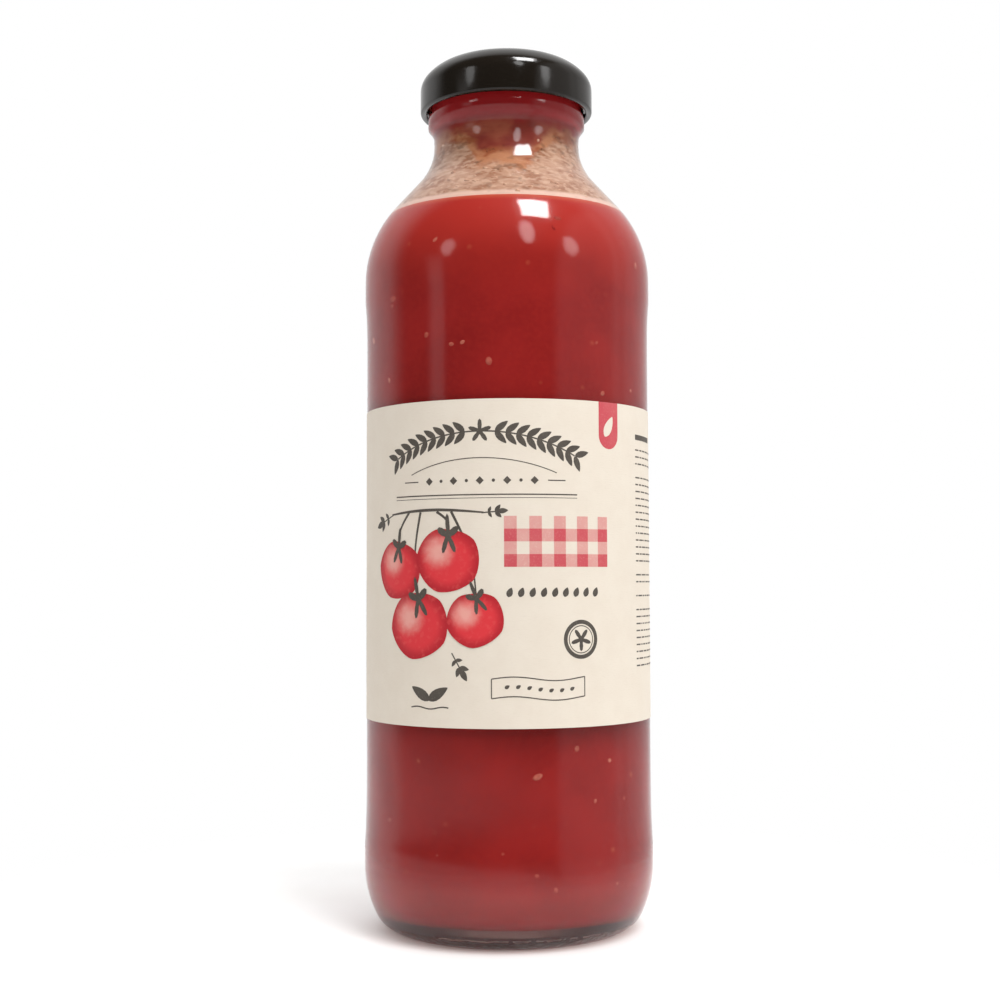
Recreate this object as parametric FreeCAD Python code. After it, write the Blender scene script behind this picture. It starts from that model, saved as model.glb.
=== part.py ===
"""A sealed glass jar of crushed tomatoes: four pieces, in millimetres.

The jar stands on z = 0 with its axis on +Z. The middle of the label faces -Y.
    glass_jar         one-litre food jar, blown glass, with a bead and four lugs under its lid
    crushed_tomatoes  the filling, from the jar's floor up to the fill level
    label             one paper strip glued round the jar's straight panel, open at the back
    lid               pressed steel twist-off lid with a rolled edge, four lugs and a sealing seat
"""

import FreeCAD, Part
import math
import os

# Outside of the jar
body_radius = 41.75         # the two rounded bands that guard the label
panel_radius = 41.2         # the straight panel between them, where the label sits
heel_small_radius = 8.4     # the heel turns under on this radius ...
heel_large_radius = 31.2    # ... and runs up into the lower band on this one
heel_turn = 25.8            # degrees of the turn made on the large radius
lower_band_top = 24.0
lower_step_top = 31.0       # above the lower band the wall drops in quickly, then slowly
panel_bottom = 56.0
panel_top = 158.0
upper_step_bottom = 173.5
upper_band_bottom = 181.0
step_radius = 41.42         # wall radius between the quick and the slow part of each step
shoulder_start = 186.7
shoulder_radius = 31.9
neck_radius = 21.3
neck_height = 229.0         # the narrowest place
neck_fillet = 19.1          # outside radius of the curve from shoulder to neck
bead_radius = 23.2
bead_fillet = 6.6           # the hollow curve from neck to bead
bead_top = 237.2
finish_radius = 22.2        # the straight wall that the lid goes over
rim_height = 249.3

# Inside of the jar
inner_radius = panel_radius - 2.6
bore_radius = 19.0
neck_wall = neck_radius - bore_radius
floor_edge = 6.8            # inner floor height beside the inner heel
floor_middle = 8.8          # and on the axis
inner_heel = 9.0
push_up_radius = 27.0       # the hollow under the base
push_up_height = 3.6
dome_share = 0.75           # of its height, where a shallow dome is halfway out
fill_height = 205.5

# The lugs that the lid turns onto
lug_count = 4
lug_rib = 1.35              # section radius of a glass lug
lug_height = 241.6
lug_span = 30.0             # degrees
lid_lug_span = 22.0
lid_lug_radius = 22.9       # how far in a lid lug reaches
lid_lug_thickness = 1.7
lug_gap = 0.1

# The lid
lid_radius = 25.5
lid_sheet = 0.35
curl_radius = 0.98          # the rolled edge
curl_bottom = 237.55
skirt_top = 244.55
lid_corner = 5.5            # the skirt turns over on this radius ...
lid_crown = 13.0            # ... then on this one
lid_lip = 2.0               # and levels out on this one
corner_turn = 40.0          # degrees from horizontal where one arc passes to the next
crown_turn = 70.0
lid_panel_drop = 0.95       # the sunk middle panel, below the lid's highest ring
lid_panel_radius = 15.6
lid_panel_slope = 1.35      # how far out the slope from the panel to the ring runs
button_drop = 0.35          # the safety button, drawn down by the vacuum
button_radius = 7.5
button_slope = 1.0
seat_inner_radius = 18.0    # the lining that seals on the glass rim
seat_slope = 1.0

# The label
label_bottom = 60.0
label_top = 148.2
label_thickness = 0.15
label_span = 348.0          # degrees; the gap is at the back


def point(radius, height):
    return FreeCAD.Vector(radius, 0, height)


def on_arc(centre, radius, degrees):
    turn = math.radians(degrees)
    return point(centre.x + radius * math.cos(turn), centre.z + radius * math.sin(turn))


def line(start, end):
    return Part.LineSegment(start, end).toShape()


def arc(centre, radius, start, end):
    """An arc from one angle to another, in degrees from the +X direction."""
    points = [on_arc(centre, radius, a) for a in (start, (start + end) / 2, end)]
    return Part.Arc(*points).toShape()


def ease(*points):
    """One smooth wall through the points, upright where it starts and where it ends."""
    curve = Part.BSplineCurve()
    upright = FreeCAD.Vector(0, 0, 1)
    curve.interpolate(Points=list(points), InitialTangent=upright, FinalTangent=upright)
    return curve.toShape()


def tangent_angle(lower, lower_radius, upper, upper_radius):
    """The direction, in degrees, square to the line that touches both circles and passes between them."""
    apart = upper.sub(lower)
    lean = math.acos((lower_radius + upper_radius) / apart.Length)
    return math.degrees(math.atan2(apart.z, apart.x) - lean)


def shoulder_to_neck(lower, lower_radius, upper, upper_radius):
    """The swan-neck curve: an arc out of the body, a straight slope, and an arc into the neck."""
    turn = tangent_angle(lower, lower_radius, upper, upper_radius)
    slope_start = on_arc(lower, lower_radius, turn)
    slope_end = on_arc(upper, upper_radius, 180 + turn)
    return [arc(lower, lower_radius, 0, turn),
            line(slope_start, slope_end),
            arc(upper, upper_radius, 180 + turn, 180)]


def spun(edges, degrees=360.0, start=0.0):
    """The solid that a closed outline in the XZ plane sweeps about the jar's axis."""
    face = Part.Face(Part.Wire(Part.__sortEdges__(edges)))
    solid = face.revolve(FreeCAD.Vector(), FreeCAD.Vector(0, 0, 1), degrees)
    solid.rotate(FreeCAD.Vector(), FreeCAD.Vector(0, 0, 1), start)
    return solid


shoulder_centre = point(body_radius - shoulder_radius, shoulder_start)
inner_shoulder_radius = inner_radius - shoulder_centre.x
neck_centre = point(neck_radius + neck_fillet, neck_height)


def outer_wall():
    """The outside of the glass, from the edge of the push-up to the top of the neck."""
    turn = math.radians(heel_turn)
    spread = heel_large_radius - heel_small_radius
    heel_top = spread * math.sin(turn) + heel_small_radius
    large = point(body_radius - heel_large_radius, heel_top)
    small = point(large.x + spread * math.cos(turn), heel_small_radius)
    edges = [line(point(push_up_radius, 0), point(small.x, 0)),
             arc(small, heel_small_radius, -90, -heel_turn),
             arc(large, heel_large_radius, -heel_turn, 0),
             line(point(body_radius, heel_top), point(body_radius, lower_band_top))]
    edges += [ease(point(body_radius, lower_band_top), point(step_radius, lower_step_top),
                   point(panel_radius, panel_bottom)),
              line(point(panel_radius, panel_bottom), point(panel_radius, panel_top)),
              ease(point(panel_radius, panel_top), point(step_radius, upper_step_bottom),
                   point(body_radius, upper_band_bottom))]
    edges += [line(point(body_radius, upper_band_bottom), point(body_radius, shoulder_start))]
    edges += shoulder_to_neck(shoulder_centre, shoulder_radius, neck_centre, neck_fillet)
    return edges


def finish():
    """The bead under the lid, the straight finish, the rounded rim and the bore down to the neck."""
    turn = math.degrees(math.acos(1 - (bead_radius - neck_radius) / bead_fillet))
    hollow = point(neck_radius + bead_fillet, neck_height)
    bead_start = on_arc(hollow, bead_fillet, 180 - turn)
    bead_round = bead_radius - finish_radius
    outer_round, inner_round = 1.3, 0.8
    return [arc(hollow, bead_fillet, 180, 180 - turn),
            line(bead_start, point(bead_radius, bead_top - bead_round)),
            arc(point(finish_radius, bead_top - bead_round), bead_round, 0, 90),
            line(point(finish_radius, bead_top), point(finish_radius, rim_height - outer_round)),
            arc(point(finish_radius - outer_round, rim_height - outer_round), outer_round, 0, 90),
            line(point(finish_radius - outer_round, rim_height),
                 point(bore_radius + inner_round, rim_height)),
            arc(point(bore_radius + inner_round, rim_height - inner_round), inner_round, 90, 180),
            line(point(bore_radius, rim_height - inner_round), point(bore_radius, neck_height))]


def inner_floor():
    """The floor of the jar, a shallow dome, and the inner heel that joins it to the wall."""
    heel_centre = point(inner_radius - inner_heel, floor_edge + inner_heel)
    edge = point(heel_centre.x, floor_edge)
    halfway = point(edge.x / 2, floor_edge + (floor_middle - floor_edge) * dome_share)
    dome = Part.Arc(point(0, floor_middle), halfway, edge).toShape()
    return [dome, arc(heel_centre, inner_heel, -90, 0)]


def inner_wall():
    """The bore side of the glass, from the inner heel up to the neck, in order."""
    inner_neck = shoulder_to_neck(shoulder_centre, inner_shoulder_radius,
                                  neck_centre, neck_fillet + neck_wall)
    straight = line(point(inner_radius, floor_edge + inner_heel), point(inner_radius, shoulder_start))
    return [straight] + inner_neck


def glass_lugs():
    """Four short ribs with round ends, spaced evenly about the finish."""
    ribs = []
    for n in range(lug_count):
        middle = 360 / lug_count * n
        centre = point(finish_radius, lug_height)
        section = [arc(centre, lug_rib, 0, 180), arc(centre, lug_rib, 180, 360)]
        ribs.append(spun(section, lug_span, middle - lug_span / 2))
        for end in (-lug_span / 2, lug_span / 2):
            ball = Part.makeSphere(lug_rib, centre)
            ball.rotate(FreeCAD.Vector(), FreeCAD.Vector(0, 0, 1), middle + end)
            ribs.append(ball)
    return ribs


def glass_jar():
    push_up = Part.Arc(point(0, push_up_height), point(push_up_radius / 2, push_up_height * dome_share),
                       point(push_up_radius, 0)).toShape()
    axis = line(point(0, push_up_height), point(0, floor_middle))
    shell = spun([push_up] + outer_wall() + finish() + inner_wall() + inner_floor() + [axis])
    return shell.fuse(glass_lugs()).removeSplitter()


def crushed_tomatoes():
    """The filling touches the floor and the wall all the way up, and its top is level."""
    above = Part.makeCylinder(body_radius, rim_height, FreeCAD.Vector(0, 0, fill_height))
    top = line(point(bore_radius, neck_height), point(0, neck_height))
    axis = line(point(0, neck_height), point(0, floor_middle))
    return spun(inner_floor() + inner_wall() + [top, axis]).cut(above)


def label():
    corners = [point(panel_radius, label_bottom),
               point(panel_radius + label_thickness, label_bottom),
               point(panel_radius + label_thickness, label_top),
               point(panel_radius, label_top)]
    outline = [line(corners[n - 1], corners[n]) for n in range(4)]
    gap = 360 - label_span
    return spun(outline, label_span, 90 + gap / 2)


def lid_section():
    """Half the lid's section: sunk panel, crown, skirt and rolled edge outside, sealing seat inside."""
    corner = point(lid_radius - lid_corner, skirt_top)
    crown = on_arc(corner, lid_corner - lid_crown, corner_turn)
    lip = on_arc(crown, lid_crown - lid_lip, crown_turn)
    top = lip.z + lid_lip
    panel, button = top - lid_panel_drop, top - lid_panel_drop - button_drop
    curl = point(lid_radius - curl_radius, curl_bottom + curl_radius)
    skirt_inside = lid_radius - lid_sheet
    curl_exit = math.degrees(math.acos((skirt_inside - curl.x) / curl_radius))
    inner_crown = lid_crown - lid_sheet
    seat_turn = math.degrees(math.asin((rim_height - crown.z) / inner_crown))
    seat_edge = on_arc(crown, inner_crown, seat_turn)
    button_edge = button_radius + button_slope
    ring_edge = lid_panel_radius + lid_panel_slope
    seat_top = point(seat_inner_radius - seat_slope, panel - lid_sheet)
    outside = [line(point(0, button), point(button_radius, button)),
               line(point(button_radius, button), point(button_edge, panel)),
               line(point(button_edge, panel), point(lid_panel_radius, panel)),
               line(point(lid_panel_radius, panel), point(ring_edge, top)),
               line(point(ring_edge, top), point(lip.x, top)),
               arc(lip, lid_lip, 90, crown_turn),
               arc(crown, lid_crown, crown_turn, corner_turn),
               arc(corner, lid_corner, corner_turn, 0),
               line(point(lid_radius, skirt_top), point(lid_radius, curl.z)),
               arc(curl, curl_radius, 0, -(360 - curl_exit))]
    inside = [line(on_arc(curl, curl_radius, curl_exit), point(skirt_inside, skirt_top)),
              arc(corner, lid_corner - lid_sheet, 0, corner_turn),
              arc(crown, inner_crown, corner_turn, seat_turn),
              line(seat_edge, point(seat_inner_radius, rim_height)),
              line(point(seat_inner_radius, rim_height), seat_top),
              line(seat_top, point(button_edge, panel - lid_sheet)),
              line(point(button_edge, panel - lid_sheet), point(button_radius, button - lid_sheet)),
              line(point(button_radius, button - lid_sheet), point(0, button - lid_sheet)),
              line(point(0, button - lid_sheet), point(0, button))]
    return outside + inside


def lid_lugs():
    """Four tongues bent in from the rolled edge, just under the glass lugs."""
    high = lug_height - lug_rib - lug_gap
    low = high - lid_lug_thickness
    corners = [point(lid_lug_radius, low), point(lid_radius - curl_radius, low),
               point(lid_radius - curl_radius, high), point(lid_lug_radius, high)]
    outline = [line(corners[n - 1], corners[n]) for n in range(4)]
    return [spun(outline, lid_lug_span, 360 / lug_count * n - lid_lug_span / 2)
            for n in range(lug_count)]


def lid():
    return spun(lid_section()).fuse(lid_lugs()).removeSplitter()


os.makedirs("parts", exist_ok=True)
for build in (glass_jar, crushed_tomatoes, label, lid):
    solid = build()
    box = solid.optimalBoundingBox()
    print(build.__name__, "valid", solid.isValid(), "solids", len(solid.Solids),
          "volume_cm3", round(solid.Volume / 1000, 2),
          "z", round(box.ZMin, 2), round(box.ZMax, 2), "width", round(box.XLength, 2))
    solid.exportStep("parts/" + build.__name__ + ".step")
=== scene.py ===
import bpy
import math
import random
from mathutils import Matrix, Quaternion, Vector, noise


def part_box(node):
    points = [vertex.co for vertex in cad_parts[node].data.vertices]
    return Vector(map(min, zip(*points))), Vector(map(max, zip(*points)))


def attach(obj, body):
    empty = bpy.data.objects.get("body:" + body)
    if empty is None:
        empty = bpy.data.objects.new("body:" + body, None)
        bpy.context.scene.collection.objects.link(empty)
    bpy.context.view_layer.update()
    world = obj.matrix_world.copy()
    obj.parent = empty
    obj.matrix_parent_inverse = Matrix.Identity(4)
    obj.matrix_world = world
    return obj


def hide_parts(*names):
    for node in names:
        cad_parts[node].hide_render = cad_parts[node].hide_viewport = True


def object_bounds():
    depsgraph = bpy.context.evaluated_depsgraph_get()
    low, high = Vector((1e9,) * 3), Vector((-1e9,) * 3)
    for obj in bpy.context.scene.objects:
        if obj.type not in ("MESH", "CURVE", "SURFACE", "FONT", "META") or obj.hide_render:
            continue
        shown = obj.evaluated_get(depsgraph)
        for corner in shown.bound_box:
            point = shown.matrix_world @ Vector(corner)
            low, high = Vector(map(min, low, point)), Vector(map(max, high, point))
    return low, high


# A glass jar of crushed tomatoes with a twist-off lid and a paper label.
# The jar stands on z = 0, its axis is +Z and the middle of its label faces -Y.
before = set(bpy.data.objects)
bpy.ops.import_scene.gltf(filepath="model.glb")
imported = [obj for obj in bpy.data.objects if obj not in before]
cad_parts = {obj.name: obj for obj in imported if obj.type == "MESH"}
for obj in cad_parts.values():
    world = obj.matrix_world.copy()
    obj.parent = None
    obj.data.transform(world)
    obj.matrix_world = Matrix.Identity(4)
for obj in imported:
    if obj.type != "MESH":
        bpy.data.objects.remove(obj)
cad_low, cad_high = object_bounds()
mm = 0.001


# Camera: level with the lower half of the label, a little to the right of the label's middle.
view_turn = math.radians(10.4)
camera_distance = 447 * mm
camera_height = 98.6 * mm
camera_lift, camera_roll, camera_aside = 3.14, 0.2, 0.3
bpy.ops.object.camera_add(
    location=(camera_distance * math.sin(view_turn), -camera_distance * math.cos(view_turn), camera_height),
    rotation=(math.radians(90 + camera_lift), math.radians(camera_roll),
              view_turn + math.radians(camera_aside)),
)
camera = bpy.context.object
camera.data.lens = 54.72
camera.data.sensor_width = 36
camera.data.clip_start = 0.01
bpy.context.scene.camera = camera
bpy.context.scene.view_settings.view_transform = "Standard"


# Shader values. A material is written as sums on the sockets of its nodes, and starts from the
# place on the object, so that a pattern has the same scale on every piece.
class Signal:
    """A socket in a material's nodes. Arithmetic on it adds the Math nodes."""

    def __init__(self, tree, socket):
        self.tree, self.socket = tree, socket

    def node(self, kind, settings=None, sockets=None, output=0):
        """Adds a node of any kind: first its settings, then the values or links of its sockets."""
        node = self.tree.nodes.new("ShaderNode" + kind)
        for name, value in (settings or {}).items():
            setattr(node, name, value)
        for name, value in (sockets or {}).items():
            if isinstance(value, Signal):
                self.tree.links.new(value.socket, node.inputs[name])
            else:
                node.inputs[name].default_value = value
        return Signal(self.tree, node.outputs[output])

    def maths(self, operation, first, second=0.0):
        return self.node("Math", {"operation": operation}, {0: first, 1: second})

    def size(self):
        return self.maths("ABSOLUTE", self)

    def __add__(self, other):
        return self.maths("ADD", self, other)

    def __sub__(self, other):
        return self.maths("SUBTRACT", self, other)

    def __rsub__(self, other):
        return self.maths("SUBTRACT", other, self)

    def __mul__(self, other):
        return self.maths("MULTIPLY", self, other)

    __radd__ = __add__
    __rmul__ = __mul__

    def rise(self, low, high):
        """0 below low, 1 above high and a smooth slope between them; low may be the larger."""
        return self.node("MapRange", {"interpolation_type": "SMOOTHSTEP"},
                         {"Value": self, "From Min": low, "From Max": high})

    def blend(self, first, second):
        """The first colour where this signal is 0 and the second where it is 1."""
        colours = [one if isinstance(one, Signal) else (*one, 1.0) for one in (first, second)]
        return self.node("Mix", {"data_type": "RGBA"}, {0: self, 6: colours[0], 7: colours[1]}, 2)

    def grain(self, size, detail=2.0, stretch=(1.0, 1.0, 1.0)):
        """Noise on this place, whose patches are about this size, in metres."""
        place = self.node("Mapping", {}, {"Vector": self, "Scale": stretch})
        return self.node("TexNoise", {}, {"Vector": place, "Scale": 1.0 / size, "Detail": detail})

    def relief(self, depth, strength=1.0):
        """A normal that follows this signal as a height, up to a depth in metres."""
        return self.node("Bump", {}, {"Height": self, "Distance": depth, "Strength": strength})


def new_material(name):
    """An empty material, and the place on the object as the signal that its pattern starts from."""
    material = bpy.data.materials.new(name)
    material.use_nodes = True
    material.node_tree.nodes.clear()
    start = Signal(material.node_tree, None)
    return material, start.node("TexCoord", {}, {}, "Object")


def principled(place, sockets):
    return place.node("BsdfPrincipled", {}, sockets)


def finish_with(shader, depth=None):
    """Puts a shader on the surface and, where it is given, another in the depth behind it."""
    output = shader.tree.nodes.new("ShaderNodeOutputMaterial")
    shader.tree.links.new(shader.socket, output.inputs["Surface"])
    if depth:
        shader.tree.links.new(depth.socket, output.inputs["Volume"])


# Studio: a pale round table top that fades out, a bright window-like light high on the right,
# three small lamps that show in the glass, and broad fills that light the jar but don't show in it.
def add_floor():
    bpy.ops.object.select_all(action="DESELECT")
    floor_radius, solid_radius, faded_radius = 0.6, 0.055, 0.19
    bpy.ops.mesh.primitive_circle_add(vertices=96, radius=floor_radius, fill_type="NGON")
    floor = bpy.context.object
    floor.name = "table_top"
    material, place = new_material("pale table")
    radius = place.node("VectorMath", {"operation": "LENGTH"}, {0: place}, "Value")
    tone = place.grain(0.03, 3.0).rise(0.3, 0.7).blend((0.86, 0.855, 0.845), (0.88, 0.875, 0.87))
    shader = principled(place, {"Base Color": tone, "Roughness": 0.6, "Specular IOR Level": 0.2,
                                "Alpha": radius.rise(faded_radius, solid_radius)})
    finish_with(shader)
    floor.data.materials.append(material)


def soft_light(name, turn, lift, width, height, radiance, shape="ELLIPSE", mirrored=True, roll=0.0):
    """An area light aimed at the jar. turn is to the camera's right, lift is above level, in degrees."""
    aim, distance = Vector((0, 0, 0.13)), 1.2
    turn, lift = math.radians(turn) + view_turn, math.radians(lift)
    way = Vector((math.sin(turn) * math.cos(lift), -math.cos(turn) * math.cos(lift), math.sin(lift)))
    bpy.ops.object.light_add(type="AREA", location=aim + way * distance)
    light = bpy.context.object
    light.name = name
    facing = way.to_track_quat("Z", "Y") @ Quaternion((0, 0, 1), math.radians(roll))
    light.rotation_euler = facing.to_euler()
    light.data.shape = shape
    light.data.size, light.data.size_y = width, height
    light.data.energy = radiance * math.pi * width * height
    light.visible_camera = light.visible_transmission = False
    light.visible_glossy = mirrored


def add_world():
    """White to the camera. To all else dim in front and bright behind and below, with a broad panel
    to the right, a narrow strip and a low panel to the left, which show as bands in the glass."""
    world = bpy.data.worlds.new("studio")
    bpy.context.scene.world = world
    world.use_nodes = True
    world.node_tree.nodes.clear()
    way = Signal(world.node_tree, None).node("TexCoord", {}, {}, "Generated")
    right = (math.cos(view_turn), math.sin(view_turn), 0.0)
    behind = (-math.sin(view_turn), math.cos(view_turn), 0.0)
    to_right = way.node("VectorMath", {"operation": "DOT_PRODUCT"}, {0: way, 1: right}, "Value")
    to_back = way.node("VectorMath", {"operation": "DOT_PRODUCT"}, {0: way, 1: behind}, "Value")
    to_floor = way.node("VectorMath", {"operation": "DOT_PRODUCT"}, {0: way, 1: (0.0, 0.0, -1.0)}, "Value")
    backdrop = to_back.rise(-0.05, 0.4) * (0.74 - to_right.rise(0.2, 0.8) * 0.2)
    right_panel = to_right.rise(0.56, 0.7) * to_back.rise(0.3, 0.1)
    strip = to_right.rise(-0.74, -0.8) * to_right.rise(-0.92, -0.86) * to_back.rise(0.0, -0.2)
    strip = strip * to_floor.rise(-0.36, -0.14) * to_floor.rise(0.06, -0.04)
    low_panel = (to_floor - to_right * 0.03).rise(0.125, 0.15)
    low_panel = low_panel * to_right.rise(0.62, 0.5) * to_back.rise(0.4, 0.1)
    below = to_floor.rise(0.05, 0.25)
    light = 0.08 + backdrop + right_panel * 0.36 + strip * 0.6 + low_panel * 0.42 + below * 0.3
    seen = way.node("LightPath", {}, {}, "Is Camera Ray")
    strength = seen + (1.0 - seen) * light
    shader = way.node("Background", {}, {"Color": (1.0, 1.0, 1.0, 1.0), "Strength": strength})
    output = world.node_tree.nodes.new("ShaderNodeOutputWorld")
    world.node_tree.links.new(shader.socket, output.inputs["Surface"])


add_floor()
add_world()
soft_light("window", 38, 64, 0.34, 0.41, 24.0, "RECTANGLE", roll=-21)
soft_light("window_below", 18, 39, 0.2, 0.5, 3.8)
soft_light("left_lamp", -48, 25, 0.24, 0.3, 2.0)
soft_light("right_lamp", 53, 26, 0.24, 0.34, 2.7)
soft_light("ceiling", 0, 80, 1.2, 1.2, 0.5, "RECTANGLE", mirrored=False)
soft_light("front_fill", -26, 54, 1.5, 1.2, 1.52, "RECTANGLE", mirrored=False)
soft_light("right_fill", 88, 28, 0.8, 1.2, 1.1, "RECTANGLE", mirrored=False)
soft_light("back_fill", 180, 40, 1.6, 1.0, 1.4, "RECTANGLE", mirrored=False)


# Glass jar: clear soda-lime glass, blown in a two-part mould, so a faint seam runs up each side.
# The wall is about 2.6 mm thick and the base thicker. The finish under the lid has a bead below it
# and four lugs, which hold the lid.
jar_radius = cad_high.x
panel_radius = 41.2 * mm
shoulder_height = 186.7 * mm
shoulder_radius = 31.9 * mm
neck_radius = 21.3 * mm
neck_height = 229.0 * mm
neck_fillet = 19.1 * mm
bead_radius = 23.2 * mm
bead_fillet = 6.6 * mm
bead_top = 237.2 * mm
finish_radius = 22.2 * mm
lug_height, lug_rib = 241.6 * mm, 1.35 * mm
bore_radius = 19.0 * mm
wall = 2.6 * mm
inner_radius = panel_radius - wall
floor_edge, floor_middle = 6.8 * mm, 8.8 * mm
inner_heel = 9.0 * mm
rim_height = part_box("glass_jar")[1].z
fill_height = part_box("crushed_tomatoes")[1].z


def bow(centre, radius, first, last, steps):
    """Points along an arc, from one angle to another in degrees, outward being 0 and up 90."""
    angles = [math.radians(first + (last - first) * n / steps) for n in range(steps + 1)]
    return [(centre[0] + radius * math.cos(a), centre[1] + radius * math.sin(a)) for a in angles]


def swan_neck(radius_below, radius_above):
    """The curve from the straight wall into the neck: an arc, a straight slope and a hollow arc."""
    below = Vector((jar_radius - shoulder_radius, shoulder_height))
    above = Vector((neck_radius + neck_fillet, neck_height))
    apart = above - below
    lean = math.acos((radius_below + radius_above) / apart.length)
    turn = math.degrees(math.atan2(apart.y, apart.x) - lean)
    return bow(below, radius_below, 0, turn, 16) + bow(above, radius_above, 180 + turn, 180, 14)


def outer_side():
    """The jar's outside, from the middle of the hollow under the base up to the neck."""
    hollow_radius, hollow_depth = 27 * mm, 3.6 * mm
    hollow = [(hollow_radius * n / 8, hollow_depth * (1 - (n / 8) ** 2)) for n in range(9)]
    small, large, turn = 8.4 * mm, 31.2 * mm, 25.8
    spread = large - small
    top = spread * math.sin(math.radians(turn)) + small
    large_centre = (jar_radius - large, top)
    small_centre = (large_centre[0] + spread * math.cos(math.radians(turn)), small)
    heel = bow(small_centre, small, -90, -turn, 14) + bow(large_centre, large, -turn, 0, 8)[1:]
    band = jar_radius - panel_radius
    heel_top, panel_low, panel_high, band_top = 24, 56, 158, 181
    lower = [(panel_radius + band * (1 - n / 14) ** 4.5, (heel_top + (panel_low - heel_top) * n / 14) * mm)
             for n in range(15)]
    upper = [(panel_radius + band * (n / 14) ** 4, (panel_high + (band_top - panel_high) * n / 14) * mm)
             for n in range(15)]
    middle = [(panel_radius, (panel_low + (panel_high - panel_low) * n / 12) * mm) for n in range(1, 12)]
    return hollow + heel + lower + middle + upper + swan_neck(shoulder_radius, neck_fillet)


def finish_side():
    """From the neck over the bead, past the height of the lugs, over the rim and down the bore."""
    hollow = (neck_radius + bead_fillet, neck_height)
    turn = math.degrees(math.acos(1 - (bead_radius - neck_radius) / bead_fillet))
    bead_round = bead_radius - finish_radius
    outer_round, inner_round = 1.3 * mm, 0.8 * mm
    bead = bow(hollow, bead_fillet, 180, 180 - turn, 6)[1:]
    bead += bow((finish_radius, bead_top - bead_round), bead_round, 0, 90, 6)
    lug = bow((finish_radius, lug_height), lug_rib, -90, 90, 6)
    rim = [(finish_radius, up) for _, up in lug]
    rim += bow((finish_radius - outer_round, rim_height - outer_round), outer_round, 0, 90, 6)
    rim += bow((bore_radius + inner_round, rim_height - inner_round), inner_round, 90, 180, 5)
    return bead + rim


def inner_side(grow=0.0):
    """The inside of the glass from the neck's narrowest place down to the middle of the floor."""
    below = shoulder_radius - jar_radius + inner_radius + grow
    neck = swan_neck(below, neck_fillet + neck_radius - bore_radius - grow)
    heel_centre = (inner_radius - inner_heel, floor_edge + inner_heel)
    heel = bow(heel_centre, inner_heel + grow, -90, 0, 10)
    middle = [(heel_centre[0] * n / 8, floor_middle - grow + (floor_edge - floor_middle) * (n / 8) ** 2)
              for n in range(8)]
    return (middle + heel + neck)[::-1]


def pick(piece, chosen):
    """Leaves selected, in edit mode, exactly the vertices that the rule chooses."""
    bpy.ops.mesh.select_all(action="DESELECT")
    bpy.ops.mesh.select_mode(type="VERT")
    bpy.ops.object.mode_set(mode="OBJECT")
    for vertex in piece.data.vertices:
        vertex.select = chosen(vertex)
    bpy.ops.object.mode_set(mode="EDIT")


def draw_ring(start, end):
    """Draws the selected ring out from one (radius, height) to the next."""
    bpy.ops.mesh.extrude_region_move(TRANSFORM_OT_translate={"value": (0, 0, end[1] - start[1])})
    if end[0] > 0:
        scale = end[0] / start[0]
        bpy.ops.transform.resize(value=(scale, scale, 1), center_override=(0, 0, 0))
    else:
        bpy.ops.mesh.merge(type="CENTER")


def turned(name, outline, columns=128):
    """A round piece: a ring at the outline's first point, drawn out from each point to the next."""
    bpy.ops.object.select_all(action="DESELECT")
    starts_on_axis = outline[0][0] == 0
    rings = outline[1:] if starts_on_axis else outline
    bpy.ops.mesh.primitive_circle_add(vertices=columns, radius=rings[0][0])
    piece = bpy.context.object
    piece.name = piece.data.name = name
    bpy.ops.object.mode_set(mode="EDIT")
    bpy.ops.mesh.select_all(action="SELECT")
    bpy.ops.transform.translate(value=(0, 0, rings[0][1]))
    for start, end in zip(rings, rings[1:]):
        if (Vector(end) - Vector(start)).length > 1e-6:
            draw_ring(start, end)
    if starts_on_axis:
        pick(piece, lambda vertex: vertex.index < columns)
        draw_ring(rings[0], outline[0])
    bpy.ops.mesh.select_all(action="SELECT")
    bpy.ops.mesh.normals_make_consistent(inside=False)
    bpy.ops.object.mode_set(mode="OBJECT")
    bpy.ops.object.shade_smooth()
    return piece


def raise_seams(jar, columns=128):
    """Draws the columns beside +X and -X in close, lifts the column between them, and turns the jar."""
    half_width, proud = 0.35 * mm, 0.12 * mm
    seam_low, seam_high = 2 * mm, 236 * mm
    seam_reach, seam_turn = math.radians(3.5), math.radians(10)
    for vertex in jar.data.vertices[:columns * len(outer_side())]:
        if not seam_low < vertex.co.z < seam_high:
            continue
        radius = math.hypot(vertex.co.x, vertex.co.y)
        if abs(vertex.co.y) < 1e-6:
            vertex.co.x += math.copysign(proud, vertex.co.x)
        elif abs(vertex.co.y) < radius * math.sin(seam_reach):
            across = math.copysign(half_width, vertex.co.y)
            vertex.co.x = math.copysign(math.sqrt(radius**2 - across**2), vertex.co.x)
            vertex.co.y = across
    jar.data.transform(Matrix.Rotation(seam_turn, 4, "Z"))


def raise_lugs(jar):
    """Four short ribs with soft ends on the finish, which the lid turns onto."""
    half_span, soft_end = 18, 3
    for vertex in jar.data.vertices:
        x, y, z = vertex.co
        rise = 1 - ((z - lug_height) / lug_rib) ** 2
        if rise < -0.01 or math.hypot(x, y) < finish_radius - 0.1 * mm:
            continue
        off = abs((math.degrees(math.atan2(y, x)) + 45) % 90 - 45)
        reach = lug_rib * math.sqrt(max(0.0, rise)) * min(1.0, max(0.0, (half_span - off) / soft_end))
        vertex.co.xy *= 1 + reach / math.hypot(x, y)


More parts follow.
